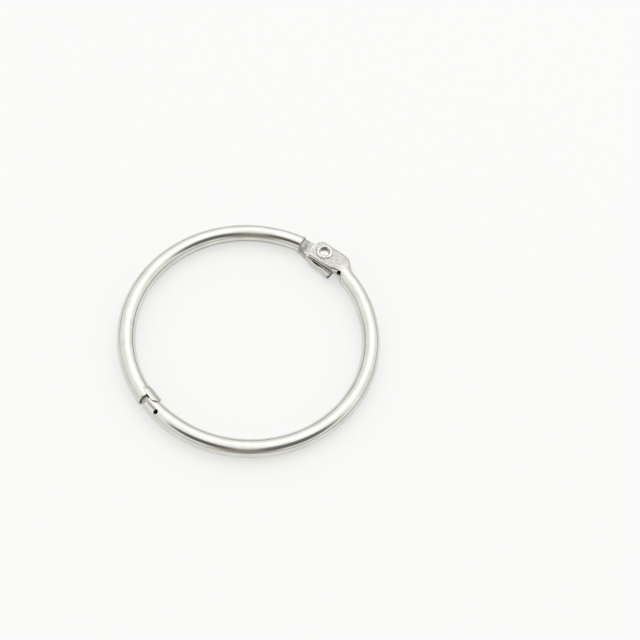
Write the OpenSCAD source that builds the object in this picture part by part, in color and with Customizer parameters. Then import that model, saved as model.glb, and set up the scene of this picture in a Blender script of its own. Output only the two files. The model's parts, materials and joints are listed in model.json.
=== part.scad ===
// Hinged loose-leaf binder ring, closed and lying flat. Lengths are in millimetres.
// The origin is the ring's centre on the surface it lies on, with +Z up.
// Each half is one strip of steel, rolled into a tube with its seam on the ring's inner side.

/* [Ring] */
// Inside diameter of the closed ring
inside_d = 50; // [44:1:76]
// Outside diameter of the rolled tube
tube_d = 4; // [3.9:0.05:4.4]
// Thickness of the steel strip
wall = 0.4; // [0.34:0.02:0.44]
// Width of the seam between the strip's edges
seam_w = 0.12; // [0.1:0.02:0.2]
// Width of the seam where the floor meets the step
floor_seam_w = 0.24; // [0.2:0.02:0.3]

/* [Hinge] */
// Angle of the hinge round the ring, from +X
hinge_angle = 59.5; // [0:0.5:180]
// How far the rivet stands outside the middle of the tube
hinge_out = 0.15; // [0.1:0.05:0.5]
// Width of the flattened end on top, the paddle
paddle_w = 5.2; // [4.8:0.1:5.4]
// Thickness of the paddle, both layers together
paddle_t = 1.86; // [1.76:0.02:1.92]
// How far the paddle runs past the rivet
paddle_end = 2.9; // [2.6:0.1:3.1]
// Radius of the paddle's outer corner
paddle_corner_r = 2.2; // [1.2:0.1:2.2]
// Radius of the small corners on both flattened ends
corner_r = 0.4; // [0.2:0.1:0.6]
// Height of the seam's groove along the paddle's inner edge
groove_h = 0.2; // [0.14:0.02:0.3]
// Diameter of the opening where the groove ends
groove_mouth_d = 0.9; // [0.6:0.05:1]
// Direction of that opening round the tube, from the ring's outer side up
groove_mouth_angle = 128; // [124:1:134]
// Width of the flattened end underneath, the tab
tab_w = 5.2; // [4.6:0.1:5.2]
// How far the tab's middle lies inside the middle of the tube
tab_in = 0.5; // [0.2:0.05:0.5]
// How far the tab runs past the rivet
tab_end = 3.3; // [2.9:0.1:3.3]
// Height of the tab's underside above the surface the ring lies on
tab_lift = 0.32; // [0.3:0.02:0.4]
// Width of the open seam along the tab's top
slot_w = 0.45; // [0.35:0.05:0.55]
// Depth of the open seam below the tab's top
slot_h = 0.7; // [0.6:0.05:0.8]
// How far the open seam's outer side lies from the tab's inner edge
slot_out = 0.95; // [0.85:0.05:1.1]
// How far the open seam runs past the rivet, towards the step
slot_run = 0.4; // [0:0.1:1]
// Length of the pressed floor's slope, from clear of the paddle's corners to the step
ramp_len = 1.7; // [1.6:0.1:2.3]
// Height of the pressed floor's top at the step
floor_z = 2.9; // [2.7:0.1:3.1]
// Running gap between the paddle and the tab
hinge_gap = 0.04; // [0.03:0.01:0.06]
// Length over which a round tube becomes a flat end
flare_len = 3.1; // [2.8:0.1:3.6]

/* [Rivet] */
// Diameter of the rivet's shank
shank_d = 2.7; // [2.5:0.05:2.8]
// Radial clearance of the shank in the paddle
pivot_gap = 0.05; // [0.03:0.01:0.08]
// Diameter of the hole drilled in the rivet's end
drill_d = 2.2; // [1.9:0.05:2.2]
// Depth of the hole drilled in the rivet's end
drill_depth = 1.4; // [1:0.1:1.8]
// Depth of the drill's point below the hole's floor
drill_point = 0.5; // [0.3:0.1:0.6]
// Outside diameter of the rolled edge on top
roll_d = 4; // [3.6:0.1:4.1]
// Height of the rolled edge
roll_h = 0.32; // [0.26:0.02:0.36]
// Gap between the rolled edge and the paddle
roll_gap = 0.03; // [0.02:0.01:0.05]
// Diameter of the rivet's head underneath
head_d = 3.6; // [3.3:0.1:3.9]
// Thickness of the rivet's head
head_h = 0.28; // [0.22:0.02:0.3]

/* [Clasp] */
// Angle from the hinge round to the socket's mouth
clasp_span = 165; // [160:1:170]
// How far the nib reaches into the socket
nib_len = 2.2; // [1.6:0.1:2.6]
// Radial clearance between the nib and the socket's bore
nib_gap = 0.22; // [0.16:0.02:0.28]
// How much thinner in radius the nib's tip is than its root
nib_taper = 0.25; // [0.15:0.05:0.35]
// Length over which the tongue half's tube narrows to its neck
neck_len = 9; // [7:0.5:12]
// Diameter of the neck where it meets the mouth
neck_d = 3.6; // [3.4:0.1:3.7]
// Gap between the mouth and the neck's rim on the ring's inner side
rim_gap_in = 0.3; // [0.2:0.05:0.5]
// Gap between the mouth and the neck's rim on the ring's outer side
rim_gap_out = 1; // [0.6:0.1:1.4]
// Direction of the scoop round the tube, from the ring's outer side up
scoop_angle = 65; // [50:5:75]
// Width of the scoop pressed into the neck
scoop_w = 1.1; // [0.8:0.1:1.2]
// Depth of the scoop below the neck's surface
scoop_depth = 0.34; // [0.2:0.02:0.4]
// Distance from the mouth to the round hole at the scoop's end
hole_at = 4.2; // [3.5:0.1:5]
// Diameter of the round hole at the scoop's end
hole_d = 1.1; // [0.9:0.1:1.3]
// Direction of the ear round the tube, from the ring's outer side up
ear_angle = 143; // [142:1:146]
// Width of the ear
ear_w = 2.6; // [2.4:0.1:2.8]
// Length of the ear beyond the socket's mouth
ear_len = 2.8; // [2:0.1:3.2]
// Distance from the mouth back to the ear's root
ear_root = 1.4; // [1.2:0.1:2]
// How far the ear stands proud of the tube
ear_rise = 0.5; // [0.44:0.02:0.6]
// Length over which the ear rises from its root
ear_bend = 0.8; // [0.6:0.1:1]
// Radius of the corners at the ear's free end
ear_corner_r = 0.9; // [0.5:0.1:1]

/* [Hidden] */

// Lofts stop a hair inside the exact surfaces that they join, and reach a little into them.
skin = 0.01;
lap = 0.06;
past = 0.5;

tube_r = tube_d / 2;
ring_r = inside_d / 2 + tube_r;
bore_r = tube_r - wall;
rivet_r = ring_r + hinge_out;
clasp_angle = hinge_angle + clasp_span;
closing_span = 360 - clasp_span;

// The paddle lies flush with the tube's top, and the tab fills what is left beneath it.
paddle_z = tube_d - paddle_t;
tab_top = paddle_z - hinge_gap;
tab_t = tab_top - tab_lift;
paddle_c = [rivet_r, paddle_z + paddle_t / 2];
tab_c = [ring_r - tab_in, tab_lift + tab_t / 2];
groove_z = tube_d - wall - skin - groove_h / 2;

// Inner and outer faces of the flat ends
paddle_in_r = rivet_r - paddle_w / 2;
paddle_out_r = rivet_r + paddle_w / 2;
tab_in_r = ring_r - tab_in - tab_w / 2;
tab_out_r = ring_r - tab_in + tab_w / 2;

// The flat ends reach as far as the other half's corners swing round the rivet.
paddle_sweep_r = norm([paddle_w / 2, paddle_end]);
tab_sweep_r = norm([rivet_r - tab_in_r, tab_end]);
swing_gap = 0.2;
ear_gap = 0.06;
paddle_back = tab_sweep_r + swing_gap;
floor_foot = paddle_sweep_r + swing_gap;
step_at = floor_foot + ramp_len;

nib_r = bore_r - nib_gap;
neck_r = neck_d / 2;
rim_mid = (rim_gap_in + rim_gap_out) / 2;
rim_tilt = atan((rim_gap_out - rim_gap_in) / tube_d);

// Places round the ring
flat_from = hinge_angle - turn(paddle_back);
flare_from = flat_from - turn(flare_len);
mouth_angle = hinge_angle - closing_span;
hole_angle = mouth_angle + turn(hole_at);
neck_to = mouth_angle + turn(neck_len);
slot_angle = hinge_angle + turn(slot_run);
floor_angle = hinge_angle + turn(floor_foot);
step_angle = hinge_angle + turn(step_at);

// Sections of the tube and its ends, each as [width, thickness, centre]
round_form = [tube_d, tube_d, [ring_r, tube_r]];
paddle_form = [paddle_w, paddle_t, paddle_c];
tab_form = [tab_w, tab_t, tab_c];
floor_form = [tube_d, floor_z, [ring_r, floor_z / 2]];
neck_form = [neck_d, neck_d, [ring_r, tube_r]];

// Sections of the seam, each as four [radius, height] corners
seam_in_r = tab_in_r - past;
tube_slit = side_slit(seam_w, tube_r, ring_r - bore_r / 2);
groove_slit = side_slit(groove_h, groove_z, paddle_in_r + slot_out);
floor_slit = side_slit(floor_seam_w, tab_top - slot_h / 2, tab_in_r + slot_out);
top_slit = let (r = tab_in_r + slot_out, low = tab_top - slot_h)
    [[r - slot_w, low], [r, low], [r, tube_d], [r - slot_w, tube_d]];

quarter_points = 6;
stations = 9;
steel = "silver";

// Angle round the ring that a length takes on the tube's centre line
function turn(length) = length / ring_r * 180 / PI;

// Smooth change from a to b while t goes from 0 to 1
function ease(t) = let (u = min(max(t, 0), 1)) u * u * (3 - 2 * u);
function blend(a, b, t) = a + (b - a) * ease(t);

// Outline of a bar with round sides, as [radius, height] points; a circle when width equals height
function capsule(w, h, c) = [
    for (i = [0 : 4 * quarter_points - 1])
        let (a = (i + 0.5) * 90 / quarter_points)
            [c.x + sign(cos(a)) * (w - h) / 2 + h / 2 * cos(a), c.y + h / 2 * sin(a)]
];

// Solid through a list of outlines, each standing at its own angle round the ring
module loft(angles, outlines) {
    count = len(outlines[0]);
    last = len(outlines) - 1;
    points = [
        for (i = [0 : last]) for (p = outlines[i])
            [p.x * cos(angles[i]), p.x * sin(angles[i]), p.y]
    ];
    sides = [
        for (i = [0 : last - 1]) for (j = [0 : count - 1])
            let (k = (j + 1) % count)
                [i * count + j, i * count + k, (i + 1) * count + k, (i + 1) * count + j]
    ];
    first_cap = [for (j = [count - 1 : -1 : 0]) j];
    last_cap = [for (j = [0 : count - 1]) last * count + j];
    polyhedron(points, concat([first_cap], sides, [last_cap]), convexity = 6);
}

// Loft whose outline is a capsule that goes from one form to another between two angles
module capsule_loft(from, to, form_a, form_b, inset) {
    reach = turn(lap);
    angles = [for (i = [0 : stations]) from - reach + (to - from + 2 * reach) * i / stations];
    less = 2 * (inset + skin);
    loft(angles, [
        for (a = angles)
            let (t = (a - from) / (to - from))
                capsule(
                    blend(form_a[0], form_b[0], t) - less,
                    blend(form_a[1], form_b[1], t) - less,
                    blend(form_a[2], form_b[2], t)
                )
    ]);
}

// Sweeps a section, drawn as radius and height, round the ring
module sweep(from, to) {
    rotate([0, 0, from]) rotate_extrude(angle = to - from, $fn = 96) children();
}

module capsule_section(form, inset) {
    w = form[0] - 2 * inset;
    h = form[1] - 2 * inset;
    translate(form[2]) {
        translate([-(w - h) / 2, -h / 2]) square([w - h, h]);
        for (side = [-1, 1]) translate([side * (w - h) / 2, 0]) circle(d = h, $fn = 32);
    }
}

module tube_section(inset) {
    translate([ring_r, tube_r]) circle(r = tube_r - inset, $fn = 48);
}

// Frame at the rivet: x outward, y towards the socket half
module at_hinge() {
    rotate([0, 0, hinge_angle]) translate([rivet_r, 0, 0]) children();
}

// Frame on the tube at a distance past the mouth: x outward, y into the tongue half
module at_clasp(distance = 0) {
    rotate([0, 0, clasp_angle + turn(distance)]) translate([ring_r, 0, tube_r]) children();
}

// Distance outward from the rivet of a swept edge, at a distance y along from the rivet
function edge_x(edge_r, y) = sqrt(edge_r * edge_r - y * y) - rivet_r;

// Corner to be cut off at [x, y], on the outer side or the inner side of a flat end
module corner_outline(x, y, r, side) {
    translate([x - side * r, y - r]) difference() {
        translate([side > 0 ? 0 : -r - past, 0]) square(r + past);
        circle(r = r, $fn = 48);
    }
}

// Cuts a swept flat end square across in the rivet's frame, and rounds its two corners
module end_cut(end, in_r, out_r, r_in, r_out) {
    x_in = edge_x(in_r, end);
    x_out = edge_x(out_r, end - r_out);
    translate([0, 0, -past]) linear_extrude(tube_d + 2 * past) {
        translate([x_in - past, end]) square([x_out - x_in + 2 * past, 2 * past]);
        corner_outline(x_in, end, r_in, -1);
        corner_outline(x_out, end, r_out, 1);
    }
}

// Slit that goes from outline to outline between places round the ring. Its ends reach a
// little past the first place and the last, and it stays a hair inside the outlines.
module seam_loft(places, slits) {
    last = len(places) - 1;
    reach = turn(lap / 2);
    at = places + [for (i = [0 : last]) i == 0 ? -reach : i == last ? reach : 0];
    marks = concat([[0, 0]], [for (i = [0 : last - 1]) for (k = [1 : stations]) [i, k / stations]]);
    loft(
        [for (m = marks) at[m.x] + (at[m.x + 1] - at[m.x]) * m.y],
        [for (m = marks) shrunk(blend(slits[m.x], slits[m.x + 1], m.y), skin)]
    );
}

// Slit with one outline all along
module seam_sweep(from, to, slit) {
    sweep(from, to) polygon(slit);
}

// Outline of a slit in the ring's inner side, by height, middle height and the radius it cuts to
function side_slit(h, z, r) = [
    [r, z - h / 2], [r, z + h / 2], [seam_in_r, z + h / 2], [seam_in_r, z - h / 2]
];

// Four-sided outline drawn in by a distance at each corner
function shrunk(outline, by) = [
    for (i = [0 : 3])
        let (p = outline[i], a = outline[(i + 1) % 4] - p, b = outline[(i + 3) % 4] - p)
            p + by * (a / norm(a) + b / norm(b))
];

// Form of the tongue half without its clasp, inset by a wall or by nothing
module tongue_form(inset) {
    sweep(flat_from, hinge_angle + turn(paddle_end + past)) capsule_section(paddle_form, inset);
    capsule_loft(flare_from, flat_from, round_form, paddle_form, inset);
    sweep(neck_to, flare_from) tube_section(inset);
}

// Neck that narrows towards the clasp
module neck(from, inset) {
    capsule_loft(from, neck_to, neck_form, round_form, inset);
}

// Nib: the tapered end that the socket's mouth holds
module nib(inset, over = 0) {
    tip_d = 2 * (nib_r - nib_taper);
    tip = [tip_d, tip_d, [ring_r, tube_r]];
    root = [2 * nib_r, 2 * nib_r, [ring_r, tube_r]];
    capsule_loft(mouth_angle - turn(nib_len + over), hole_angle, tip, root, inset);
}

// Everything on the mouth's side of the slanted rim
module rim_cut() {
    at_clasp(rim_mid) rotate([0, 0, rim_tilt])
        translate([-2 * tube_d, -neck_len, -2 * tube_d]) cube([4 * tube_d, neck_len, 4 * tube_d]);
}

// Scoop pressed into the neck, with the round hole where it ends
module scoop() {
    scoop_r = scoop_w / 2;
    at_clasp() rotate([0, -scoop_angle, 0]) translate([neck_r - scoop_depth + scoop_r, 0, 0])
        rotate([-90, 0, 0]) cylinder(r = scoop_r, h = hole_at, $fn = 32);
    at_clasp(hole_at) rotate([0, -scoop_angle, 0]) translate([bore_r / 2, 0, 0]) rotate([0, 90, 0])
        cylinder(d = hole_d, h = tube_d, $fn = 32);
}

// Outline of the ear along its direction, widened by a gap; it starts a distance before the mouth
module ear_outline(gap, start) {
    r = ear_corner_r + gap;
    w = ear_w + 2 * gap;
    end = ear_len + gap;
    translate([-w / 2, -start]) square([w, end + start - r]);
    translate([r - w / 2, -start]) square([w - 2 * r, end + start]);
    for (side = [-1, 1]) translate([side * (w / 2 - r), end - r]) circle(r = r, $fn = 32);
}

// The ear's outline as a bar that stands out from the tube's middle
module ear_bar(gap, start) {
    at_clasp() rotate([0, -ear_angle, 0]) translate([bore_r / 2, 0, 0]) rotate([0, 90, 0])
        linear_extrude(tube_d) ear_outline(gap, start);
}

// Ear: a tab of the socket's wall, sheared free beside the seam and bent out to guide the nib
module ear() {
    root_r = tube_r - wall / 2;
    top_r = tube_r + ear_rise;
    intersection() {
        ear_bar(0, ear_root + wall);
        at_clasp() rotate([-90, 0, 0]) rotate_extrude($fn = 64) polygon([
            [root_r, -ear_root - wall],
            [tube_r - skin, -ear_root - wall],
            [tube_r - skin, -ear_root],
            [top_r, ear_bend - ear_root],
            [top_r, ear_len + past],
            [top_r - wall, ear_len + past],
            [top_r - wall, ear_bend - ear_root + wall / 2]
        ]);
    }
}

// Top layer's square inner edge, which the groove runs under
module paddle_lip() {
    sweep(flat_from - turn(groove_mouth_d / 2), hinge_angle + turn(paddle_end + past))
        translate([paddle_in_r, groove_z]) square([paddle_w / 2, tube_d - skin - groove_z]);
}

// Seam of the tongue half, which rises from the tube's middle to the groove below the top layer
module tongue_seam() {
    seam_sweep(hole_angle, flare_from, tube_slit);
    seam_loft([flare_from, flat_from], [tube_slit, groove_slit]);
    seam_sweep(flat_from, hinge_angle + turn(paddle_end + past), groove_slit);
    rotate([0, 0, flat_from - turn(flare_len / 2)]) translate([ring_r, 0, tube_r])
        rotate([0, -groove_mouth_angle, 0]) translate([bore_r / 2, 0, 0]) rotate([0, 90, 0])
            cylinder(d = groove_mouth_d, h = tube_d, $fn = 32);
}

// Seam of the socket half, which widens to an open slot along the tab
module socket_seam() {
    tube_from = step_angle + turn(3 * lap);
    seam_sweep(tube_from, clasp_angle + turn(2 * past), tube_slit);
    seam_loft([slot_angle, floor_angle, tube_from], [top_slit, floor_slit, tube_slit]);
    seam_sweep(hinge_angle - turn(tab_end + past), slot_angle, top_slit);
}

module socket_half() {
    color(steel) {
        difference() {
            union() {
                sweep(step_angle, clasp_angle) tube_section(0);
                capsule_loft(floor_angle, step_angle, tab_form, floor_form, 0);
                sweep(hinge_angle - turn(tab_end + past), floor_angle) capsule_section(tab_form, 0);
            }
            sweep(step_angle, clasp_angle + turn(past)) tube_section(wall);
            capsule_loft(floor_angle, step_angle, tab_form, floor_form, wall);
            sweep(hinge_angle - turn(tab_end + 2 * past), floor_angle)
                capsule_section(tab_form, wall);
            socket_seam();
            ear_bar(ear_gap, ear_root);
            at_hinge() {
                translate([0, 0, -past]) cylinder(d = shank_d, h = tube_d, $fn = 48);
                mirror([0, 1, 0]) end_cut(tab_end, tab_in_r, tab_out_r, corner_r, corner_r);
            }
        }
        ear();
    }
}

module tongue_half() {
    color(steel) difference() {
        union() {
            tongue_form(0);
            paddle_lip();
            difference() {
                neck(mouth_angle, 0);
                rim_cut();
            }
            nib(0);
        }
        tongue_form(wall);
        neck(hole_angle, wall);
        nib(wall, past);
        scoop();
        tongue_seam();
        at_hinge() {
            translate([0, 0, paddle_z - past])
                cylinder(d = shank_d + 2 * pivot_gap, h = paddle_t + 2 * past, $fn = 48);
            end_cut(paddle_end, paddle_in_r, paddle_out_r, corner_r, paddle_corner_r);
        }
    }
}

module hinge_rivet() {
    top = tube_d + roll_gap + roll_h;
    roll_w = (roll_d - drill_d) / 2;
    floor_h = top - drill_depth;
    color(steel) at_hinge() difference() {
        union() {
            translate([0, 0, tab_lift - head_h]) cylinder(d = head_d, h = head_h, $fn = 48);
            translate([0, 0, tab_lift - head_h / 2])
                cylinder(d = shank_d, h = top - roll_h / 2 - tab_lift + head_h / 2, $fn = 48);
            rotate_extrude($fn = 64)
                capsule_section([roll_w, roll_h, [drill_d / 2 + roll_w / 2, top - roll_h / 2]], 0);
        }
        translate([0, 0, floor_h]) cylinder(d = drill_d, h = drill_depth + past, $fn = 48);
        translate([0, 0, floor_h - drill_point])
            cylinder(d1 = 0, d2 = drill_d, h = drill_point, $fn = 48);
    }
}

socket_half();
tongue_half();
hinge_rivet();
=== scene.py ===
"""Hinged loose-leaf binder ring of nickel-plated steel strip, lying closed on a pale table top.

Each half is a strip rolled into a tube. Its surface is a profile carried round the ring: the
strip's middle line in section changes with the distance from the rivet, and half the strip's
thickness is laid off to either side of it.
"""

import json
import math

import bmesh
import bpy
import numpy as np
from mathutils import Matrix, Vector

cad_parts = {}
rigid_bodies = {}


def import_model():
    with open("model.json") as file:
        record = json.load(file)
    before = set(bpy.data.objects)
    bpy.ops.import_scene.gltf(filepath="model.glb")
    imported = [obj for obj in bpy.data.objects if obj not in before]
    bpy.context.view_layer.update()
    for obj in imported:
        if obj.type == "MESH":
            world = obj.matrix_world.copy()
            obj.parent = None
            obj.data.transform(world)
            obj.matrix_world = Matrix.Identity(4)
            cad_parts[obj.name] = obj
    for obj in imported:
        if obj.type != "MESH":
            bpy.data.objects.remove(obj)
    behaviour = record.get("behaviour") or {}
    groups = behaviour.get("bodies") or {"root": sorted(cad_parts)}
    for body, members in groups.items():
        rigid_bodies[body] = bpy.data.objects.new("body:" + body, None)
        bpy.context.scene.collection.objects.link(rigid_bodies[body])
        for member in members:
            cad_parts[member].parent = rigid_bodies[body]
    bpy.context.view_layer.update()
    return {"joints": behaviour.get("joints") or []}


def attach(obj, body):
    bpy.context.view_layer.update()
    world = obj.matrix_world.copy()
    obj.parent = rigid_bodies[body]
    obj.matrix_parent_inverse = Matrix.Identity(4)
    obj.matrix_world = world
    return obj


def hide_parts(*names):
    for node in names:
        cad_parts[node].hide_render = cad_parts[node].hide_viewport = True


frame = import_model()

# ---- sizes in millimetres and degrees, in the frame of the part --------------------------------

MM = 0.001
hinge = frame["joints"][0]
hinge_x, hinge_y = hinge["pos_m"][0] / MM, hinge["pos_m"][1] / MM
HINGE = math.atan2(hinge_y, hinge_x)
HINGE_ANGLE = math.degrees(HINGE)
RIVET_R = math.hypot(hinge_x, hinge_y)
HINGE_OUT = 0.15  # the rivet sits this far outside the tube's centre line

# The rolled strip
RING_R = RIVET_R - HINGE_OUT
TUBE_R = 2.0
WALL = 0.4
EDGE_R = 0.07  # rounding of its cut edges
SEAM_W = 0.12

# The paddle, pressed flat at the tongue half's end, and the flare from it to the tube
PADDLE_W = 5.2
PADDLE_T = 1.86
PADDLE_END = 2.9
PADDLE_BACK = 4.4
PADDLE_LEAN = 0.4  # how far it leans outwards where the flare begins
PADDLE_CORNER_R = 2.5
SMALL_CORNER_R = 0.4
PADDLE_PULL = 2.0  # its square end is evened out over this far past the rivet
FLARE_LEN = 3.5
GROOVE_H = 0.2
GROOVE_RISE = 3.0  # the groove in its side begins to rise here
GROOVE_MOUTH_D = 0.9
GROOVE_MOUTH_ANGLE = 128.0
SEAM_FALL = 2.5  # the seam takes this far to come down to the tube's inner side

# The tab below the paddle, and the floor from it to the step
TAB_W = 5.6
TAB_IN = 0.7  # how far it sits inwards from the tube's centre line
TAB_END = 4.0
TAB_LIFT = 0.32
TAB_PULL = 1.0
SLOT_W = 0.4
SLOT_OUT = 1.15
SLOT_HALF = 1.75
HINGE_GAP = 0.04
FLOOR_SEAM_W = 0.06
FLOOR_FOOT = 4.1
FLOOR_Z = 2.9
STEP_AT = 5.8
FLOOR_LAP = 0.5  # the floor goes on inside the tube for this far
SWELL_FROM = 0.4  # the tab begins to widen into the floor here

# The clasp: nib, neck and scoop on the tongue half, mouth and ear on the socket half
CLASP_SPAN = 165.0
NIB_LEN = 2.2
NIB_R = 1.28
NIB_TAPER = 0.15
NIB_ROOT = 3.2
NECK_LEN = 9.0
NECK_R = 1.8
RIM_GAP_IN = 0.55
RIM_GAP_OUT = 1.3
RIM_PULL = 2.0  # the shoulder's slant is evened out over this far
SCOOP_ANGLE = 65.0
SCOOP_W = 1.1
SCOOP_DEPTH = 0.4
SCOOP_PAST = 0.2
SCOOP_RUN = 0.8
HOLE_AT = 4.2
HOLE_D = 1.1
EAR_ANGLE = 140.0
EAR_W = 2.8
EAR_LEN = 2.8
EAR_ROOT = 2.2
EAR_RISE = 0.26
EAR_BEND = 1.4
EAR_CORNER_R = 1.25
SKIN = 0.01  # the ear's root lies this far under the tube's surface

# The rivet
SHANK_D = 2.7
PIVOT_GAP = 0.05
DRILL_D = 2.2
DRILL_DEPTH = 1.1
DRILL_POINT = 0.3
PIT_D = 0.3
PIT_RIM = 0.05
ROLL_D = 4.0
ROLL_H = 0.32
ROLL_GAP = 0.03
ROLL_FADE, ROLL_RISE = 0.3, 0.05  # its unevenness grows over this radius and this height
RIPPLES = ((0.02, 3, 1), (0.015, 7, 0), (0.012, 13, 2))  # depth, waves a turn, phase
CRACK_HALF = 7.0
CRACKS = ((258, 0.2), (285, 0.26), (20, 0.08), (140, 0.07))  # direction and depth
HEAD_D = 3.6
HEAD_H = 0.28
RIVET_BEND = 0.08

# What follows from these
TUBE_D = 2 * TUBE_R
MIDDLE = TUBE_R - WALL / 2
CENTRE = np.array([RING_R, TUBE_R])
PADDLE_Z = TUBE_D - PADDLE_T
TAB_TOP = PADDLE_Z - HINGE_GAP
TAB_T = TAB_TOP - TAB_LIFT
GROOVE_Z = TUBE_D - WALL - GROOVE_H
MOUTH_AT = PADDLE_BACK + FLARE_LEN / 2
CLASP = math.radians(HINGE_ANGLE + CLASP_SPAN)
CLOSING_ARC = math.radians(360 - CLASP_SPAN) * RING_R
SOCKET_ARC = math.radians(CLASP_SPAN) * RING_R

# ---- sections: closed paths of the strip's middle line, from the ring's inner side up ----------


def ease(t):
    """Smooth change from 0 to 1 while t goes from 0 to 1: 3 t squared less 2 t cubed."""
    u = np.clip(t, 0, 1)
    return u * u * (3 - 2 * u)


def blend(a, b, t):
    """Even change from a to b while t goes from 0 to 1."""
    return a + (b - a) * t


def arc(cx, cz, radius, start, end):
    """Points on an arc about (cx, cz), with angles in degrees from outward, up being 90."""
    a = np.radians(np.linspace(start, end, 181))
    return np.stack([cx + radius * np.cos(a), cz + radius * np.sin(a)], -1)


def loop(*pieces):
    """A closed path through arcs and corner points, as a function of the share of its length."""
    path = np.concatenate([np.atleast_2d(p) for p in pieces])
    path = np.concatenate([path, path[:1]])
    step = np.hypot(*np.diff(path, axis=0).T)
    path = path[np.concatenate([[True], step > 1e-6])]
    run = np.concatenate([[0], np.cumsum(np.hypot(*np.diff(path, axis=0).T))])

    def at(u):
        return np.stack([np.interp(np.mod(u, 1), run / run[-1], path[:, k]) for k in (0, 1)], -1)

    at.length = run[-1]
    return at


def capsule(width, thickness, cx, cz):
    """A flattened tube of that outside width and thickness: two half circles and two lines."""
    bend = (thickness - WALL) / 2
    side = (width - thickness) / 2
    return loop(
        arc(cx - side, cz, bend, 180, 90),
        arc(cx + side, cz, bend, 90, -90),
        arc(cx - side, cz, bend, -90, -180),
    )


def seam_of(section, start, end):
    """Middle and width, as shares of the section's length, of a seam between two distances."""
    return (start + end) / 2 / section.length, (end - start) / section.length


ROUND = capsule(TUBE_D, TUBE_D, RING_R, TUBE_R)
FLOOR = capsule(TUBE_D, FLOOR_Z, RING_R, FLOOR_Z / 2)
TAB = capsule(TAB_W, TAB_T, RING_R - TAB_IN, TAB_LIFT + TAB_T / 2)

# The paddle's top layer ends in a free square edge, which a groove parts from the curl below it.
PADDLE_BEND = (PADDLE_T - WALL) / 2
PADDLE_SIDE = (PADDLE_W - PADDLE_T) / 2
PADDLE_MID = PADDLE_Z + PADDLE_T / 2
CURL = math.asin((GROOVE_Z - PADDLE_MID) / (PADDLE_T / 2))
PADDLE_LIP = (RIVET_R - PADDLE_W / 2, TUBE_D - WALL / 2)
PADDLE = loop(
    arc(RIVET_R - PADDLE_SIDE, PADDLE_MID, PADDLE_BEND, 180, 180 - math.degrees(CURL)),
    PADDLE_LIP,
    arc(RIVET_R + PADDLE_SIDE, PADDLE_MID, PADDLE_BEND, 90, -90),
    arc(RIVET_R - PADDLE_SIDE, PADDLE_MID, PADDLE_BEND, -90, -180),
)
CURL_END = PADDLE_BEND * CURL
CURL_TIP = (
    RIVET_R - PADDLE_SIDE - PADDLE_BEND * math.cos(CURL),
    PADDLE_MID + PADDLE_BEND * math.sin(CURL),
)
PADDLE_SEAM = seam_of(PADDLE, CURL_END, CURL_END + math.dist(CURL_TIP, PADDLE_LIP))
TUBE_SEAM = seam_of(ROUND, -SEAM_W / 2, SEAM_W / 2)
MOUTH_SEAM = (180 - GROOVE_MOUTH_ANGLE) / 360
SLOT_FAR = (TAB_T - WALL) / 2 * math.pi / 2 + SLOT_OUT - TAB_T / 2
TAB_SEAM = seam_of(TAB, SLOT_FAR - SLOT_W, SLOT_FAR)
FLOOR_BEND = (FLOOR_Z - WALL) / 2
FLOOR_SEAM_AT = FLOOR_BEND * math.asin((TUBE_R - FLOOR_Z / 2) / FLOOR_BEND)
FLOOR_SEAM = seam_of(FLOOR, FLOOR_SEAM_AT - SEAM_W / 2, FLOOR_SEAM_AT + SEAM_W / 2)

# ---- the strip as a solid sheet ----------------------------------------------------------------

EDGE_STEPS = EDGE_R * np.array([0, 0.12, 0.45, 1.0])


def edge_fade(distance):
    """How full the strip's thickness is at a distance from a cut edge: a quarter circle."""
    x = np.clip(distance / EDGE_R, 0, 1)
    return np.sqrt(1 - (1 - x) ** 2)


def along(start, end, marks):
    """Distances from start to end, close together at both cut edges and spaced as marks say.

    marks is a list of (distance, spacing): the spacing holds up to that distance.
    """
    runs = [start + EDGE_STEPS]
    here = start + EDGE_R
    for mark, spacing in [*marks, (end - EDGE_R, marks[-1][1])]:
        if mark > here + 1e-9:
            count = max(1, int(math.ceil((mark - here) / spacing)))
            runs.append(np.linspace(here, mark, count + 1)[1:])
            here = mark
    runs.append(end - EDGE_STEPS[-2::-1])
    return np.concatenate(runs)


def across(width, count):
    """Places across a width, close together at both edges and even between them."""
    inner = np.linspace(EDGE_R, width - EDGE_R, count)
    return np.concatenate([EDGE_STEPS[:-1], inner, width - EDGE_STEPS[-2::-1]])


STRIP_W = 2 * math.pi * MIDDLE
AROUND = across(STRIP_W, 120) / STRIP_W


def shares(seam, width):
    """Places round the section of the strip's points, from the seam's upper edge round to it."""
    return seam[:, None] + width[:, None] / 2 + AROUND * (1 - width[:, None])


def turn(distance):
    """Angle in radians round the ring that a distance takes on the tube's centre line."""
    return distance / RING_R


def polar(radius, angle, z):
    """Points at a radius, an angle in radians from +X and a height."""
    return np.stack(np.broadcast_arrays(radius * np.cos(angle), radius * np.sin(angle), z), -1)


def section_normals(middle):
    """Unit normals of middle lines in the plane of the section, pointing out of the tube."""
    d = np.gradient(middle, axis=1)
    d /= np.maximum(np.linalg.norm(d, axis=-1, keepdims=True), 1e-12)
    return np.stack([-d[..., 1], d[..., 0]], -1)


def closed_shell(front, back):
    """Vertices and faces of a solid sheet from the grids of its front and its back."""
    rows, cols = front.shape[:2]
    index = np.arange(rows * cols).reshape(rows, cols)
    quads = np.stack([index[:-1, :-1], index[1:, :-1], index[1:, 1:], index[:-1, 1:]], -1)
    quads = quads.reshape(-1, 4)
    rim = np.concatenate([index[:, 0], index[-1, 1:], index[-2::-1, -1], index[0, -2:0:-1]])
    walls = np.stack([rim, np.roll(rim, -1), np.roll(rim, -1) + index.size, rim + index.size], -1)
    faces = np.concatenate([quads, quads[:, ::-1] + index.size, walls[:, ::-1]])
    return np.concatenate([front.reshape(-1, 3), back.reshape(-1, 3)]), faces


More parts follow.
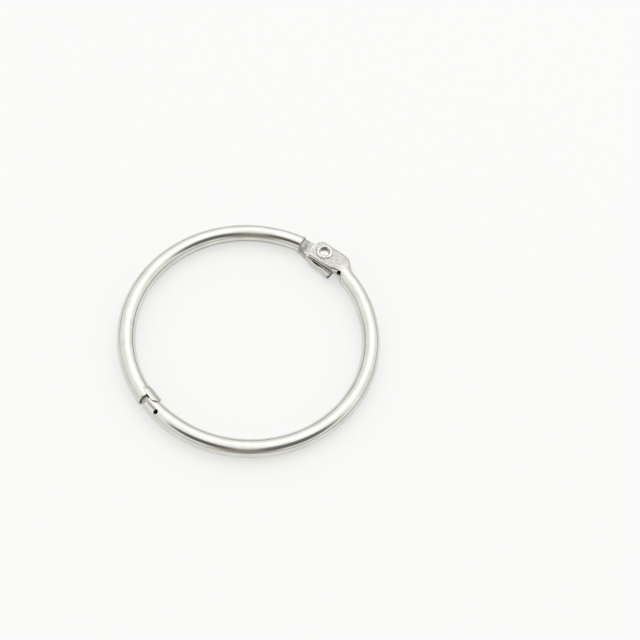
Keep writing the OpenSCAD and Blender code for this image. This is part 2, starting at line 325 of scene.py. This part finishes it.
def strip(middle, angle, d):
    """The strip whose middle line in section is middle[i, j], at angle[i, j] and distance d[i].

    Half the thickness goes to either side along the section's normal, and it closes along a
    quarter circle towards the cut ends and the strip's two edges.
    """
    width = np.minimum(AROUND, 1 - AROUND) * STRIP_W
    full = edge_fade(d - d[0])[:, None] * edge_fade(d[-1] - d)[:, None] * edge_fade(width)
    half = (WALL / 2 - EDGE_R * (1 - full))[..., None]
    normal = section_normals(middle)
    sides = []
    for sign in (1, -1):
        p = middle + sign * half * normal
        sides.append(polar(p[..., 0], angle, p[..., 1]))
    return closed_shell(*sides)


def square_end(middle, end, corner_in, corner_out, in_x, out_x):
    """Angle past the rivet, in radians, at which each line of a flat end stops.

    The end is straight across in the rivet's frame, between in_x and out_x from the rivet, with a
    quarter circle at either corner.
    """
    radius = middle[..., 0]
    stop = np.full(radius.shape, end)
    for _ in range(4):
        x = np.sqrt(np.maximum(radius**2 - stop**2, 0)) - RIVET_R
        drop_out = np.clip(x - (out_x - corner_out), 0, corner_out)
        drop_in = np.clip((in_x + corner_in) - x, 0, corner_in)
        stop = end
        stop = stop - (corner_out - np.sqrt(corner_out**2 - drop_out**2))
        stop = stop - (corner_in - np.sqrt(corner_in**2 - drop_in**2))
    return np.arcsin(stop / radius)


def squared(base, first, anchor):
    """The angles base, pulled so that they start at first and are as they were from anchor on."""
    pull = np.clip((base - anchor) / (base[0] - anchor), 0, 1)
    return base + pull * (first - base[0])


# ---- tongue half -------------------------------------------------------------------------------


def outward_of(middle):
    """Unit vectors from the tube's centre to points of its middle line."""
    v = middle - CENTRE
    return v / np.linalg.norm(v, axis=-1, keepdims=True)


def scoop_depth(s, middle):
    """Depth of the scoop: a round-bottomed groove of SCOOP_W that ends just past the hole."""
    v = middle - CENTRE
    direction = np.degrees(np.arctan2(v[..., 1], v[..., 0]))
    off = np.radians(direction - SCOOP_ANGLE) * NECK_R
    depth = SCOOP_DEPTH * np.sqrt(np.clip(1 - (off / (SCOOP_W / 2)) ** 2, 0, 1))
    return depth * ease((HOLE_AT + SCOOP_PAST - s) / SCOOP_RUN)[:, None]


def tongue_middle(d):
    """Middle lines of the tongue half at distances d past the rivet, away from the socket half.

    The section goes smoothly from the paddle to the round tube along the flare, and shrinks
    towards the neck. The seam runs up from the groove to the opening in the flare, and from there
    down to the tube's inner side.
    """
    flare = ease((d - PADDLE_BACK) / FLARE_LEN)
    rise = ease((d - GROOVE_RISE) / (MOUTH_AT - GROOVE_RISE))
    fall = ease((d - MOUTH_AT) / SEAM_FALL)
    seam = blend(blend(PADDLE_SEAM[0], MOUTH_SEAM, rise), TUBE_SEAM[0], fall)
    u = shares(seam, blend(PADDLE_SEAM[1], TUBE_SEAM[1], rise))
    leant = PADDLE(u)
    leant[..., 0] += PADDLE_LEAN * ease(d / PADDLE_BACK)[:, None]
    middle = blend(leant, ROUND(u), flare[:, None, None])
    s = CLOSING_ARC - d
    radius = blend(NECK_R, TUBE_R, ease(s / NECK_LEN)) - WALL / 2
    neck = CENTRE + (middle - CENTRE) * (radius / MIDDLE)[:, None, None]
    middle = np.where((d > PADDLE_BACK + FLARE_LEN)[:, None, None], neck, middle)
    return middle - scoop_depth(s, middle)[..., None] * outward_of(middle)


def tongue_shell():
    """The tongue half's strip, from the paddle's square end to the shoulder behind the nib.

    Its middle lines are set at the hinge's angle less their distance over the ring's radius. The
    shoulder slants evenly from the ring's inner side to its outer side.
    """
    flare_end = PADDLE_BACK + FLARE_LEN
    spacing = [(PADDLE_BACK, 0.25), (flare_end, 0.1), (CLOSING_ARC - NECK_LEN, 0.8)]
    spacing += [(CLOSING_ARC - HOLE_AT - 1, 0.3), (CLOSING_ARC - RIM_GAP_OUT, 0.1)]
    d = along(-PADDLE_END, CLOSING_ARC - (RIM_GAP_IN + RIM_GAP_OUT) / 2, spacing)
    middle = tongue_middle(d)
    half = PADDLE_W / 2
    stop = square_end(middle[0], PADDLE_END, SMALL_CORNER_R, PADDLE_CORNER_R, -half, half)
    angle = squared(HINGE - turn(d)[:, None], HINGE + stop, HINGE - turn(PADDLE_PULL))
    slant = (RIM_GAP_OUT - RIM_GAP_IN) / TUBE_D * (middle[-1, :, 0] - RING_R)
    near = np.clip((turn(d)[:, None] - turn(d[-1] - RIM_PULL)) / turn(RIM_PULL), 0, 1)
    return strip(middle, angle + near * turn(slant), d)


def tube_middle(d):
    """Middle lines of the plain tube: the round section with its seam on the inner side."""
    return ROUND(shares(0 * d + TUBE_SEAM[0], 0 * d + TUBE_SEAM[1]))


def nib_shell():
    """The nib: a tapered tube whose middle line's radius falls evenly towards its tip."""
    s = along(-NIB_LEN, NIB_ROOT, [(NIB_ROOT, 0.3)])
    radius = NIB_R - NIB_TAPER * np.clip(-s / NIB_LEN, 0, 1)
    scale = ((radius - WALL / 2) / MIDDLE)[:, None, None]
    middle = CENTRE + (tube_middle(s) - CENTRE) * scale
    return strip(middle, CLASP + turn(s)[:, None] + 0 * AROUND, s)


# ---- socket half -------------------------------------------------------------------------------


def tab_shell():
    """The tab, and the floor that ramps up from it to the tube's cut end.

    The section goes smoothly from the flat tab to the floor's, in width from SWELL_FROM and in
    height from FLOOR_FOOT. The seam opens to a slot in the tab's top, widest beside the rivet and
    closed at SLOT_HALF to either side, and runs down to the tube's inner side at the step.
    """
    end = STEP_AT + FLOOR_LAP
    d = along(-TAB_END, end, [(SLOT_HALF, 0.12), (end, 0.1)])
    ramp = ease((d - FLOOR_FOOT) / (STEP_AT - FLOOR_FOOT))
    swell = ease((d - SWELL_FROM) / (STEP_AT - SWELL_FROM))
    close = np.minimum((d / SLOT_HALF) ** 2, 1)
    narrow = blend(FLOOR_SEAM_W / TAB.length, FLOOR_SEAM[1], ramp)
    seam = blend(TAB_SEAM[0], FLOOR_SEAM[0], ease(d / STEP_AT))
    u = shares(seam, blend(TAB_SEAM[1], narrow, close))
    middle = blend(TAB(u), FLOOR(u), np.stack([swell, ramp], -1)[:, None])
    in_x = RING_R - TAB_IN - TAB_W / 2 - RIVET_R
    corner = SMALL_CORNER_R
    stop = square_end(middle[0], TAB_END, corner, corner, in_x, in_x + TAB_W)
    angle = squared(HINGE + turn(d)[:, None], HINGE - stop, HINGE + turn(TAB_PULL))
    return strip(middle, angle, d)


def socket_shell():
    """The socket half's tube, from its cut end at the step to the mouth: one round section."""
    spacing = [(STEP_AT + 1, 0.2), (SOCKET_ARC - 3, 0.8), (SOCKET_ARC, 0.15)]
    d = along(STEP_AT, SOCKET_ARC, spacing)
    return strip(tube_middle(d), HINGE + turn(d)[:, None] + 0 * AROUND, d)


def ear_shell():
    """The ear: a tab that leaves the socket's wall along a smooth step and runs on beside the nib.

    Across it follows the tube's roundness; its free end has round corners.
    """
    s = along(-EAR_ROOT - WALL, EAR_LEN, [(EAR_BEND, 0.1)])
    place = across(EAR_W, 24)
    off = place - EAR_W / 2
    rise = EAR_RISE * ease((s + EAR_ROOT) / EAR_BEND) - WALL / 2 - SKIN
    radius = TUBE_R + rise[:, None]
    inset = np.clip(np.abs(off) - (EAR_W / 2 - EAR_CORNER_R), 0, EAR_CORNER_R)
    cut = EAR_CORNER_R - np.sqrt(EAR_CORNER_R**2 - inset**2)
    pull = np.clip((s - s[0]) / (s[-1] - s[0]), 0, 1)[:, None] ** 3
    angle = CLASP + turn(s[:, None] - pull * cut)
    phi = np.radians(EAR_ANGLE) + np.arcsin(off / (TUBE_R + EAR_RISE - WALL / 2))
    full = edge_fade(np.minimum(place, EAR_W - place)) * edge_fade(s[-1] - s)[:, None]
    half = WALL / 2 - EDGE_R * (1 - full)
    sides = []
    for sign in (1, -1):
        r = radius + sign * half
        sides.append(polar(RING_R + r * np.cos(phi), angle, TUBE_R + r * np.sin(phi)))
    return closed_shell(*sides)


# ---- rivet -------------------------------------------------------------------------------------


def rivet_outline():
    """The rivet's outline as radius and height, from the head's middle round to the drilled pit."""
    top = TUBE_D + ROLL_GAP + ROLL_H
    roll_half, roll_middle = (ROLL_D - DRILL_D) / 4, (ROLL_D + DRILL_D) / 4
    over = np.radians(np.linspace(0, 180, 25))
    roll = [roll_middle + roll_half * np.cos(over), top - ROLL_H * (1 - np.sin(over))]
    head_z = TAB_LIFT - HEAD_H
    floor_z = top - DRILL_DEPTH
    bend = RIVET_BEND
    corner = slice(None, None, 20)
    return np.concatenate(
        [
            [(0, head_z)],
            arc(HEAD_D / 2 - bend, head_z + bend, bend, -90, 0)[corner],
            arc(HEAD_D / 2 - bend, TAB_LIFT - bend, bend, 0, 90)[corner],
            [(SHANK_D / 2, TAB_LIFT), (SHANK_D / 2, top - ROLL_H)],
            np.stack(roll, -1),
            [(DRILL_D / 2, floor_z + bend)],
            arc(DRILL_D / 2 - bend, floor_z + bend, bend, 0, -90)[corner],
            [(PIT_D / 2, floor_z - PIT_RIM), (PIT_D / 3, floor_z - DRILL_POINT)],
            [(0, floor_z - DRILL_POINT)],
        ]
    )


def rivet_shell():
    """A turned shape: its outline taken once round the rivet's axis.

    The rolled edge stands a little uneven, as a rolled end does where the metal splits: its radius
    has a sum of sine waves added, and a V-shaped notch taken out at each crack.
    """
    outline = rivet_outline()
    turns = 192
    a = np.linspace(0, 2 * math.pi, turns, endpoint=False)
    radius, z = outline[:, 0][:, None], outline[:, 1][:, None]
    rolled = ease((radius - SHANK_D / 2) / ROLL_FADE)
    rolled = rolled * ease((z - (TUBE_D + ROLL_GAP)) / ROLL_RISE)
    uneven = sum(depth * np.sin(waves * a + phase) for depth, waves, phase in RIPPLES)
    for where, depth in CRACKS:
        off = np.mod(a - math.radians(where) + math.pi, 2 * math.pi) - math.pi
        uneven = uneven - depth * np.clip(1 - np.abs(off) / math.radians(CRACK_HALF), 0, 1)
    radius = radius + rolled * uneven
    grid = np.stack([radius * np.cos(a), radius * np.sin(a), z + 0 * a], -1)
    grid += np.array([hinge_x, hinge_y, 0])
    index = np.arange(len(outline) * turns).reshape(-1, turns)
    beside = np.roll(index, -1, axis=1)
    quads = np.stack([index[:-1], beside[:-1], beside[1:], index[1:]], -1).reshape(-1, 4)
    return grid.reshape(-1, 3), quads


# ---- holes -------------------------------------------------------------------------------------


def round_bar(diameter, matrix, length):
    """A round bar along z from the matrix's origin, with its length to both sides."""
    count = 64
    a = np.linspace(0, 2 * math.pi, count, endpoint=False)
    ring = diameter / 2 * np.stack([np.cos(a), np.sin(a), 0 * a], -1)
    points = np.concatenate([ring - [0, 0, length], ring + [0, 0, length]])
    mesh = bpy.data.meshes.new("bar")
    sides = [(i, (i + 1) % count, count + (i + 1) % count, count + i) for i in range(count)]
    ends = [tuple(range(count))[::-1], tuple(range(count, 2 * count))]
    mesh.from_pydata(points.tolist(), [], ends + sides)
    mesh.transform(Matrix.Scale(MM, 4) @ matrix)
    return mesh


def on_tube(s, phi):
    """Place on the tube at a distance s past the mouth, with z out of the tube at direction phi."""
    place = Matrix.Rotation(CLASP + turn(s), 4, "Z")
    place = place @ Matrix.Translation((RING_R, 0, TUBE_R))
    place = place @ Matrix.Rotation(math.radians(90 - phi), 4, "Y")
    return place @ Matrix.Translation((0, 0, TUBE_R))


def drilled(mesh, bar):
    """The mesh less the bar's solid. Both meshes are used up."""
    objects = bpy.context.scene.collection.objects
    piece, tool = bpy.data.objects.new("piece", mesh), bpy.data.objects.new("tool", bar)
    objects.link(piece)
    objects.link(tool)
    boolean = piece.modifiers.new("cut", "BOOLEAN")
    boolean.operation = "DIFFERENCE"
    boolean.solver = "MANIFOLD"
    boolean.object = tool
    graph = bpy.context.evaluated_depsgraph_get()
    result = bpy.data.meshes.new_from_object(piece.evaluated_get(graph))
    for obj in (piece, tool):
        data = obj.data
        bpy.data.objects.remove(obj)
        bpy.data.meshes.remove(data)
    return result


# ---- finish: where a press or handling worked the surface, and where shade and highlights are painted ---

SIDE_DULL = 0.4  # share on the sides of the flat ends
TOP_FROM, TOP_FADE = TUBE_D - 0.4, 0.3  # heights between which a side turns into a top
SIDES_END = FLOOR_FOOT - 0.5
TAB_FROM, TAB_FADE = STEP_AT + 0.1, 0.5
EAR_FROM, EAR_FADE = TUBE_R + 0.01, 0.07
# painted shade: the scoop and the nib, nearer the centre line than these radii, take the darker
# pressed colour in place of the shade in the scoop and inside the socket's mouth
NECK_SHADE_FROM, NECK_SHADE_FADE = NECK_R - 0.06, 0.15
RIVET_DULL = 0.35
SHARP_EDGE = 50.0


def edge_wear_and_highlight(points):
    """How bright the paddle's upper edges are: 1 at the edge, 0 inside. This is partly wear rubbed
    by handling and partly a painted highlight along the edges.
    """
    flat = points[:, :2] - [hinge_x, hinge_y]
    out = flat @ [math.cos(HINGE), math.sin(HINGE)]
    ahead = flat @ [-math.sin(HINGE), math.cos(HINGE)]
    end = ease((ahead - PADDLE_END + 2 * EDGE_R) / EDGE_R) * (ahead < PADDLE_END + EDGE_R)
    lip = ease((2 * EDGE_R - PADDLE_W / 2 - out) / EDGE_R) * (ahead > -PADDLE_BACK)
    return np.maximum(end, lip) * (points[:, 2] > TUBE_D - 2 * EDGE_R)


def worked_and_painted_light_share(points):
    """How much a press has worked the surface: 1 on the flat ends and the ear, 0 on the tube.

    It fades out along the flare and at the step. The ear lies further from the tube's centre line
    than the tube does, and the scoop and the nib nearer. On the scoop and the nib the share is
    painted shade: the darker pressed colour stands in for the shade in the scoop and inside the
    socket's mouth. d is the distance past the rivet towards the socket, and out the distance from
    the centre line.
    """
    angle = np.arctan2(points[:, 1], points[:, 0]) - HINGE
    d = (np.mod(angle + math.pi, 2 * math.pi) - math.pi) * RING_R
    section = np.stack([np.hypot(points[:, 0], points[:, 1]), points[:, 2]], -1)
    out = np.hypot(*(section - CENTRE).T)
    paddle = 1 - ease((-d - PADDLE_BACK) / FLARE_LEN)
    tab = 1 - ease((d - TAB_FROM) / TAB_FADE)
    scuffed = blend(SIDE_DULL, 1, ease((points[:, 2] - TOP_FROM) / TOP_FADE))
    flat = np.where(d < 0, paddle, tab) * np.where(d < SIDES_END, scuffed, 1)
    past_mouth = np.mod(d, 2 * math.pi * RING_R) - SOCKET_ARC
    near_mouth = (past_mouth > -EAR_ROOT) & (past_mouth < EAR_LEN + 1)
    ear = ease((out - EAR_FROM) / EAR_FADE) * near_mouth
    near_nib = (past_mouth > -NIB_LEN) & (past_mouth < HOLE_AT + 1)
    # painted shade on the scoop and the nib
    neck = ease((NECK_SHADE_FROM - out) / NECK_SHADE_FADE) * near_nib
    # the paddle's upper edges get the bright finish back: partly rubbed wear, partly a painted
    # highlight
    return np.maximum(np.maximum(flat, ear), neck) * (1 - edge_wear_and_highlight(points))


# ---- pieces ------------------------------------------------------------------------------------


def shell_mesh(points, faces):
    """A mesh in metres from a closed shell's points in millimetres.

    The faces are turned round if the solid's volume, the sum over its triangles of a dot product
    with a cross product, comes out negative.
    """
    a, b, c, d = (points[faces[:, k]] for k in range(4))
    volume = np.einsum("ij,ij->", a, np.cross(b, c)) + np.einsum("ij,ij->", a, np.cross(c, d))
    if volume <= 0:
        faces = faces[:, ::-1]
    mesh = bpy.data.meshes.new("shell")
    mesh.vertices.add(len(points))
    mesh.vertices.foreach_set("co", (points * MM).ravel())
    mesh.loops.add(faces.size)
    mesh.loops.foreach_set("vertex_index", faces.ravel())
    mesh.polygons.add(len(faces))
    mesh.polygons.foreach_set("loop_start", np.arange(0, faces.size, 4))
    mesh.update(calc_edges=True)
    return mesh


def make_piece(name, meshes, body, node, dull=1.0):
    """One object from closed shells, riding on a body in place of its node.

    dull scales its worked share.
    """
    whole = bmesh.new()
    for part in meshes:
        whole.from_mesh(part)
        bpy.data.meshes.remove(part)
    bmesh.ops.remove_doubles(whole, verts=whole.verts, dist=1e-4 * MM)
    mesh = bpy.data.meshes.new(name)
    whole.to_mesh(mesh)
    whole.free()
    points = np.empty(len(mesh.vertices) * 3)
    mesh.vertices.foreach_get("co", points)
    # the share carries the pressed finish, and also painted shade on the scoop and the nib and a
    # painted highlight on the paddle's edges
    share = mesh.attributes.new("worked_and_painted_light", "FLOAT", "POINT")
    share.data.foreach_set("value", dull * worked_and_painted_light_share(points.reshape(-1, 3) / MM))
    mesh.shade_smooth()
    mesh.set_sharp_from_angle(angle=math.radians(SHARP_EDGE))
    obj = bpy.data.objects.new(name, mesh)
    bpy.context.scene.collection.objects.link(obj)
    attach(obj, body)
    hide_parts(node)
    return obj


# ---- materials ---------------------------------------------------------------------------------

# Each finish is two colours, its lowest roughness and its highest.
BRIGHT = (("#dfded9", "#d5d4ce"), 0.09, 0.16)
# the pressed colours are also painted shade on the scoop and the nib
PRESSED_AND_SHADE = (("#cfcdc8", "#bdbbb6"), 0.42, 0.56)
PATCH, STAIN, GRAIN = 4.0, 0.5, 0.15  # sizes in millimetres
NOISE_LOW, NOISE_HIGH = 0.35, 0.65  # most of a noise's values lie between these
DENT_DEPTH = 0.01
DENT_STAIN = 0.15  # how much of the dents follows the stains and not the grain


def rgb(text):
    """Linear colour from an sRGB hex value."""
    s = np.array([int(text[i : i + 2], 16) / 255 for i in (1, 3, 5)])
    linear = np.where(s <= 0.04045, s / 12.92, ((s + 0.055) / 1.055) ** 2.4)
    return (*linear, 1.0)


def add(tree, kind, inputs, **settings):
    """Adds a node with its settings. inputs gives a socket its value or another node's output."""
    node = tree.nodes.new(kind)
    for key, value in settings.items():
        setattr(node, key, value)
    for key, value in inputs.items():
        if isinstance(value, bpy.types.NodeSocket):
            tree.links.new(value, node.inputs[key])
        else:
            node.inputs[key].default_value = value
    return node


def nickel_plated_steel(name, bump):
    """Nickel plating on drawn steel strip: a warm grey mirror, duller where a press worked it.

    The strip's drawing marks show as a fine grain of about 0.15 mm, and handling has left patches
    a few millimetres wide that are less bright. The attribute "worked" runs from 0 on the plain
    tube to 1 on the pressed ends, which also carry dents and stains of about half a millimetre. On
    the scoop and the nib the attribute is painted shade, and where it falls away on the paddle's
    edges it is partly a painted highlight.
    """
    material = bpy.data.materials.new(name)
    material.use_nodes = True
    tree = material.node_tree
    where = add(tree, "ShaderNodeTexCoord", {}).outputs["Object"]
    worked_and_painted_light = add(tree, "ShaderNodeAttribute", {}, attribute_name="worked_and_painted_light").outputs["Fac"]

    def noise(size, detail):
        inputs = {"Vector": where, "Scale": 1 / (size * MM), "Detail": detail}
        return add(tree, "ShaderNodeTexNoise", inputs).outputs["Fac"]

    def mixed(kind, factor, a, b):
        inputs = {"Factor": factor, "A": a, "B": b}
        return add(tree, "ShaderNodeMix", inputs, data_type=kind).outputs["Result"]

    def spread(value, low, high):
        inputs = {"Value": value, "From Min": NOISE_LOW, "From Max": NOISE_HIGH}
        inputs.update({"To Min": low, "To Max": high})
        return add(tree, "ShaderNodeMapRange", inputs).outputs["Result"]

    stains = noise(STAIN, 2.0)
    colours, roughs = [], []
    for spots, (tints, low, high) in ((noise(PATCH, 3.0), BRIGHT), (stains, PRESSED_AND_SHADE)):
        colours.append(mixed("RGBA", spread(spots, 0.0, 1.0), rgb(tints[0]), rgb(tints[1])))
        roughs.append(spread(spots, low, high))
    dents = mixed("FLOAT", DENT_STAIN, noise(GRAIN, 2.0), stains)
    inputs = {"Height": dents, "Strength": bump, "Distance": DENT_DEPTH * MM}
    normal = add(tree, "ShaderNodeBump", inputs).outputs["Normal"]
    shader = tree.nodes["Principled BSDF"]
    shader.inputs["Metallic"].default_value = 1.0
    # the pressed colour also paints shade on the scoop and the nib, and the bright colour a
    # highlight on the paddle's edges
    tree.links.new(mixed("RGBA", worked_and_painted_light, *colours), shader.inputs["Base Color"])
    tree.links.new(mixed("FLOAT", worked_and_painted_light, *roughs), shader.inputs["Roughness"])
    tree.links.new(normal, shader.inputs["Normal"])
    return material


# ---- table, room, lamp and camera --------------------------------------------------------------

TABLE_HALF = 2.0  # metres
TABLE_WHITE = "#fefefe"
TABLE_ROUGHNESS = 0.9
TABLE_SEEN = 0.55  # share of plain white in what a camera or a mirror sees of the table

# The room: where its dark band along the horizon begins and is full, as the sine of the elevation,
# and shapes as (azimuth, elevation), degrees from there at which it begins and is full, colour
# and amount
ROOM_STRENGTH = 1.36
WALLS = "#e2e3e0"
HORIZON, HORIZON_TOP, HORIZON_FULL, HORIZON_AMOUNT = "#7c7c7a", 0.26, 0.08, 0.8
ROOM_SHAPES = [
    ((80, 66), 44, 8, "#ffffff", 1.0),
    ((244, 50), 25, 9, "#3e3e3b", 0.92),
    ((279, 30), 28, 12, "#76685f", 0.85),
    ((318, 48), 30, 10, "#3c3d3a", 0.88),
    ((200, 0), 42, 20, "#d0d0cd", 0.75),
]

LAMP_PLACE = (0.07, 0.27, 0.5)
LAMP_SIZE = 0.25
LAMP_POWER = 0.08

CAMERA_DISTANCE = 221.4
CAMERA_ELEVATION = 60.1
CAMERA_ROLL = -11.4
CAMERA_ROUND = -3.15  # turned round the ring's axis
AIM_RIGHT, AIM_UP = -0.0699, -0.0146  # slopes from the line of sight to the ring's middle
SENSOR, LENS = 36.0, 56.25
CLIP_START = 0.005


def make_table():
    """A pale table top: white to the eye and in reflections, with the object's shadow on it.

    What camera, glossy and transmission rays see is a mix of plain white and the lit surface.
    """
    mesh = bpy.data.meshes.new("table_top")
    corners = [(x * TABLE_HALF, y * TABLE_HALF, 0) for x, y in ((-1, -1), (1, -1), (1, 1), (-1, 1))]
    mesh.from_pydata(corners, [], [(0, 1, 2, 3)])
    table = bpy.data.objects.new("table_top", mesh)
    bpy.context.scene.collection.objects.link(table)
    material = bpy.data.materials.new("table_white")
    material.use_nodes = True
    tree = material.node_tree
    shader = tree.nodes["Principled BSDF"]
    shader.inputs["Base Color"].default_value = rgb(TABLE_WHITE)
    shader.inputs["Roughness"].default_value = TABLE_ROUGHNESS
    shader.inputs["Specular IOR Level"].default_value = 0.0
    rays = add(tree, "ShaderNodeLightPath", {}).outputs
    seen = rays["Is Camera Ray"]
    for other in ("Is Glossy Ray", "Is Transmission Ray"):
        larger = add(tree, "ShaderNodeMath", {0: seen, 1: rays[other]}, operation="MAXIMUM")
        seen = larger.outputs["Value"]
    share = add(tree, "ShaderNodeMath", {0: seen, 1: TABLE_SEEN}, operation="MULTIPLY")
    white = add(tree, "ShaderNodeEmission", {}).outputs["Emission"]
    inputs = {"Fac": share.outputs["Value"], 1: shader.outputs["BSDF"], 2: white}
    both = add(tree, "ShaderNodeMixShader", inputs).outputs["Shader"]
    tree.links.new(both, tree.nodes["Material Output"].inputs["Surface"])
    mesh.materials.append(material)


def make_room():
    """A pale room: brightest overhead, darker along the horizon and in the shapes on the near side.

    Each shape fades out smoothly with the cosine of the angle from its middle.
    """
    world = bpy.data.worlds.new("pale_room")
    bpy.context.scene.world = world
    world.use_nodes = True
    tree = world.node_tree
    way = add(tree, "ShaderNodeTexCoord", {}).outputs["Generated"]

    def over(below, shade, value, start, full, amount):
        """A shade laid over what is below it, by amount where the value reaches full."""
        ends = {"Value": value, "From Min": start, "From Max": full, "To Max": amount}
        share = add(tree, "ShaderNodeMapRange", ends, interpolation_type="SMOOTHSTEP")
        inputs = {"Factor": share.outputs["Result"], "A": below, "B": rgb(shade)}
        return add(tree, "ShaderNodeMix", inputs, data_type="RGBA").outputs["Result"]

    height = add(tree, "ShaderNodeSeparateXYZ", {"Vector": way}).outputs["Z"]
    level = add(tree, "ShaderNodeMath", {0: height}, operation="ABSOLUTE").outputs["Value"]
    view = over(rgb(WALLS), HORIZON, level, HORIZON_TOP, HORIZON_FULL, HORIZON_AMOUNT)
    for (azimuth, elevation), wide, core, shade, amount in ROOM_SHAPES:
        a, e = math.radians(azimuth), math.radians(elevation)
        middle = (math.cos(a) * math.cos(e), math.sin(a) * math.cos(e), math.sin(e))
        dot = add(tree, "ShaderNodeVectorMath", {0: way, 1: middle}, operation="DOT_PRODUCT")
        start, full = math.cos(math.radians(wide)), math.cos(math.radians(core))
        view = over(view, shade, dot.outputs["Value"], start, full, amount)
    background = tree.nodes["Background"]
    tree.links.new(view, background.inputs["Color"])
    background.inputs["Strength"].default_value = ROOM_STRENGTH


def make_lamp():
    """A soft lamp high over the far side, which gives the soft shadow on the near side."""
    data = bpy.data.lights.new("soft_lamp", "AREA")
    data.shape = "DISK"
    data.size = LAMP_SIZE
    data.energy = LAMP_POWER
    lamp = bpy.data.objects.new("soft_lamp", data)
    lamp.location = LAMP_PLACE
    lamp.rotation_euler = (-Vector(LAMP_PLACE)).to_track_quat("-Z", "Y").to_euler()
    bpy.context.scene.collection.objects.link(lamp)


def make_camera():
    """Looks down at the ring from the near side, a little turned about the line of sight."""
    elevation, roll = math.radians(CAMERA_ELEVATION), math.radians(CAMERA_ROLL)
    ahead = Vector((0, math.cos(elevation), -math.sin(elevation)))
    flat_right = Vector((1, 0, 0))
    flat_up = flat_right.cross(ahead)
    right = math.cos(roll) * flat_right - math.sin(roll) * flat_up
    up = math.sin(roll) * flat_right + math.cos(roll) * flat_up
    place = -CAMERA_DISTANCE * (ahead + AIM_RIGHT * right + AIM_UP * up)
    data = bpy.data.cameras.new("camera")
    data.sensor_width = SENSOR
    data.lens = LENS
    data.clip_start = CLIP_START
    camera = bpy.data.objects.new("camera", data)
    look = Matrix.Translation(place * MM) @ Matrix((right, up, -ahead)).transposed().to_4x4()
    centre = Matrix.Translation((0, 0, TUBE_R * MM))
    camera.matrix_world = centre @ Matrix.Rotation(math.radians(CAMERA_ROUND), 4, "Z") @ look
    bpy.context.scene.collection.objects.link(camera)
    bpy.context.scene.camera = camera


# ---- the scene ---------------------------------------------------------------------------------

bpy.context.scene.view_settings.view_transform = "Standard"
make_camera()
make_table()
make_room()
make_lamp()

plated = nickel_plated_steel("nickel_plated_steel", 0.25)
turned = nickel_plated_steel("worked_nickel_rivet", 0.3)

at_rivet = Matrix.Translation((hinge_x, hinge_y, 0))
pivot_hole = round_bar(SHANK_D + 2 * PIVOT_GAP, at_rivet, TUBE_D * 2)
shank_hole = round_bar(SHANK_D, at_rivet, TUBE_D * 2)
clasp_hole = round_bar(HOLE_D, on_tube(HOLE_AT, SCOOP_ANGLE), 1.0)
groove_place = on_tube(CLOSING_ARC - MOUTH_AT, GROOVE_MOUTH_ANGLE)
groove_mouth = round_bar(GROOVE_MOUTH_D, groove_place, 1.0)

tongue_strip = shell_mesh(*tongue_shell())
for hole in (pivot_hole, clasp_hole, groove_mouth):
    tongue_strip = drilled(tongue_strip, hole)
tongue = make_piece(
    "tongue_half_strip",
    [tongue_strip, shell_mesh(*nib_shell())],
    "tongue_side",
    "tongue_half",
)
tab = drilled(shell_mesh(*tab_shell()), shank_hole)
socket = make_piece(
    "socket_half_strip",
    [tab, shell_mesh(*socket_shell()), shell_mesh(*ear_shell())],
    "socket_side",
    "socket_half",
)
rivet = make_piece(
    "hinge_rivet_turned",
    [shell_mesh(*rivet_shell())],
    "socket_side",
    "hinge_rivet",
    dull=RIVET_DULL,
)

for piece, material in ((tongue, plated), (socket, plated), (rivet, turned)):
    piece.data.materials.append(material)
